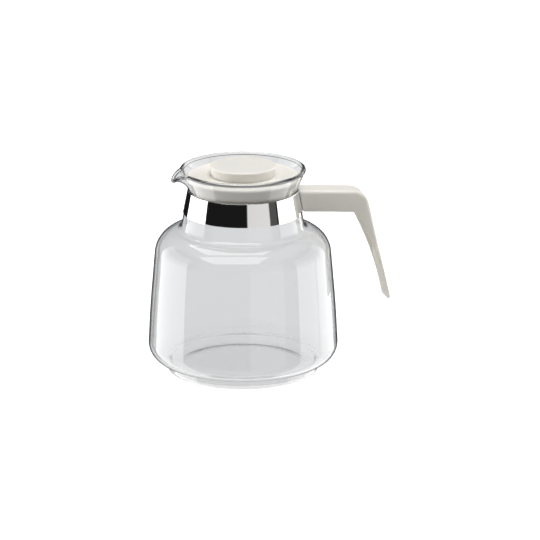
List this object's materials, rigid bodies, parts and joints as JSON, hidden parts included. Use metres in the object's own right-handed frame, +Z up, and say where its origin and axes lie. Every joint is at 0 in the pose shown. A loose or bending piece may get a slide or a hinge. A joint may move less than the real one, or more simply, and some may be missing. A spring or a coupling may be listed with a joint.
{
  "type": "coffee server carafe",
  "caption": "Round glass coffee server with a steel neck band, a moulded handle with side flanges, a drawn pouring lip and a drop-in lid with a round knob.",
  "frame": {"origin": "centre of the foot ring's flat underside, on the jug's axis", "axes": "+Z up along the jug's axis, +X towards the handle, -X towards the pouring lip"},
  "size_m": [0.1817, 0.1404, 0.1559],
  "materials": {
    "glass": "clear, fire-polished",
    "polished_steel": "polished",
    "warm_white_plastic": "satin gloss",
    "zinc_steel": "zinc plated"
  },
  "bodies": {
    "server": {"glass_jug": "glass", "neck_band": "polished_steel", "handle": "warm_white_plastic", "clamp_screw": "zinc_steel", "clamp_nut": "zinc_steel"},
    "lid": {"lid_body": "warm_white_plastic", "lid_knob": "warm_white_plastic"}
  },
  "joints": [
    {"name": "lid_lift", "type": "slide", "parent": "server", "child": "lid", "axis": [0, 0, 1], "range_m": [0, 0.045]}
  ]
}
